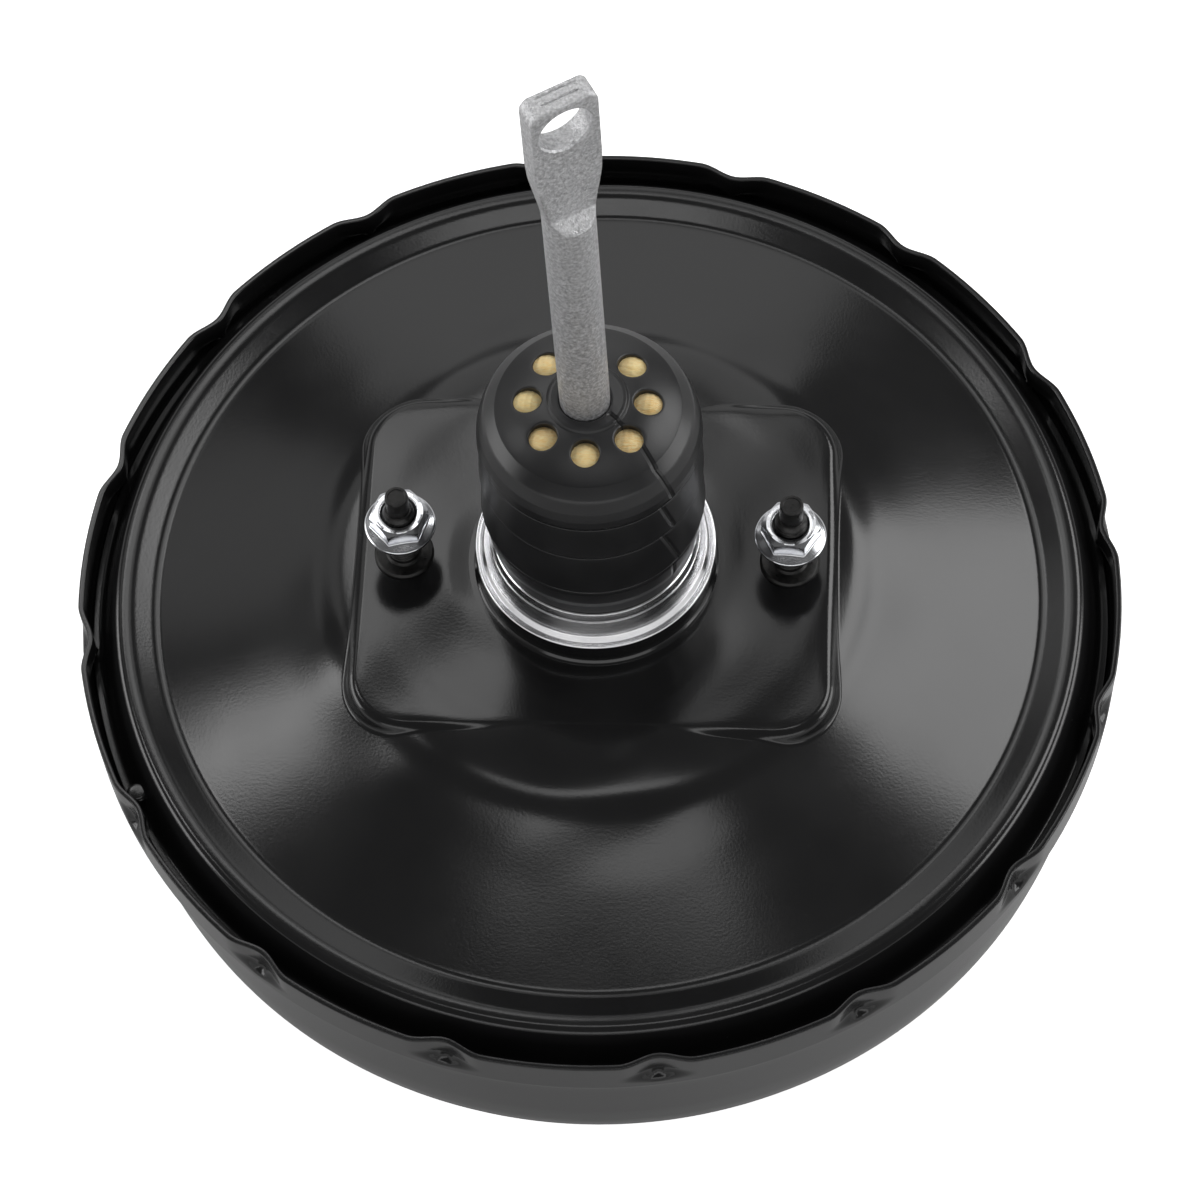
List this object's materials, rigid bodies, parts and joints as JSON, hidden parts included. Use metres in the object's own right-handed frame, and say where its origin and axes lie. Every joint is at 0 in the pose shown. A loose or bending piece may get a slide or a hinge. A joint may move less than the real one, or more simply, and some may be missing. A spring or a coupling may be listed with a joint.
{
  "type": "brake booster",
  "caption": "Vacuum brake booster: shallow black steel canister with a crimped rim, rubber-booted pedal rod, studs and flange nuts behind, master-cylinder studs in front.",
  "frame": {"origin": "centre of the firewall mounting face, on the booster's axis, midway between the two firewall studs", "axes": "+Z along the booster's axis towards the pedal, X through the two firewall studs"},
  "size_m": [0.268, 0.268, 0.3231],
  "materials": {
    "front_shell": "satin-gloss black paint on pressed steel",
    "rear_shell": "satin-gloss black paint on pressed steel",
    "locating_pin": "black painted steel peg",
    "neck_ring": "bright plated pressed steel",
    "guide_bush": "moulded low-friction plastic",
    "neck_seal": "moulded rubber",
    "seal_washer": "plated steel",
    "firewall_plate": "plain pressed steel",
    "firewall_studs": "dark plated steel",
    "flange_nuts": "bright zinc plate",
    "front_plate": "plain pressed steel",
    "master_studs": "zinc-plated steel",
    "output_seal": "moulded rubber",
    "vacuum_grommet": "moulded rubber",
    "check_valve_base": "moulded black plastic",
    "check_valve_cap": "moulded black plastic",
    "check_valve_spring": "spring steel",
    "boot": "satin black moulded rubber",
    "valve_body": "moulded dark phenolic",
    "stop_key": "plated steel",
    "diaphragm_plate": "plated pressed steel",
    "diaphragm": "moulded rubber",
    "reaction_disc": "firm moulded rubber",
    "output_rod": "plated steel",
    "rod_adjuster": "plated steel",
    "rod_retainer": "pressed steel",
    "return_spring": "spring steel",
    "poppet_rubber": "moulded rubber",
    "poppet_retainer": "pressed steel",
    "poppet_spring": "spring steel",
    "valve_spring": "spring steel",
    "air_filter": "pale felt",
    "silencer": "grey open foam",
    "poppet_washer": "pressed steel",
    "air_valve_plunger": "turned steel",
    "input_rod": "grey forged steel",
    "rod_spring_seat": "plated pressed steel",
    "check_valve_disc": "moulded rubber"
  },
  "bodies": {
    "housing": {"front_shell": "front_shell", "rear_shell": "rear_shell", "locating_pin": "locating_pin", "neck_ring": "neck_ring", "guide_bush": "guide_bush", "neck_seal": "neck_seal", "seal_washer": "seal_washer", "firewall_plate": "firewall_plate", "firewall_studs": "firewall_studs", "flange_nuts": "flange_nuts", "front_plate": "front_plate", "master_studs": "master_studs", "output_seal": "output_seal", "vacuum_grommet": "vacuum_grommet", "check_valve_base": "check_valve_base", "check_valve_cap": "check_valve_cap", "check_valve_spring": "check_valve_spring", "boot": "boot"},
    "power_piston": {"valve_body": "valve_body", "stop_key": "stop_key", "diaphragm_plate": "diaphragm_plate", "diaphragm": "diaphragm", "reaction_disc": "reaction_disc", "output_rod": "output_rod", "rod_adjuster": "rod_adjuster", "rod_retainer": "rod_retainer", "return_spring": "return_spring", "poppet_rubber": "poppet_rubber", "poppet_retainer": "poppet_retainer", "poppet_spring": "poppet_spring", "valve_spring": "valve_spring", "air_filter": "air_filter", "silencer": "silencer"},
    "poppet": {"poppet_washer": "poppet_washer"},
    "plunger": {"air_valve_plunger": "air_valve_plunger"},
    "input_rod": {"input_rod": "input_rod", "rod_spring_seat": "rod_spring_seat"},
    "check_disc": {"check_valve_disc": "check_valve_disc"}
  },
  "joints": [
    {"name": "power_stroke", "type": "slide", "parent": "housing", "child": "power_piston", "axis": [0, 0, -1], "range_m": [0, 0.032], "stiffness_N_per_m": 2500, "springref_m": -0.04, "deforming": ["boot", "return_spring", "diaphragm"]},
    {"name": "plunger_stroke", "type": "slide", "parent": "power_piston", "child": "plunger", "axis": [0, 0, -1], "range_m": [0, 0.0018], "stiffness_N_per_m": 900, "springref_m": -0.014, "deforming": ["valve_spring"]},
    {"name": "poppet_lift", "type": "slide", "parent": "power_piston", "child": "poppet", "axis": [0, 0, -1], "range_m": [0, 0.0007], "deforming": ["poppet_rubber", "poppet_spring"]},
    {"name": "rod_tilt", "type": "hinge", "parent": "plunger", "child": "input_rod", "pos_m": [0, 0, 0.036], "axis": [0.5, -0.866, 0], "range_deg": [-4, 2]},
    {"name": "check_valve_lift", "type": "slide", "parent": "housing", "child": "check_disc", "axis": [0.1487, 0.2796, -0.9485], "range_m": [0, 0.0015], "stiffness_N_per_m": 60, "springref_m": -0.004, "deforming": ["check_valve_spring"]}
  ],
  "couplings": [
    {"joint": "poppet_lift", "follows": "plunger_stroke", "ratio": 0.3889}
  ]
}
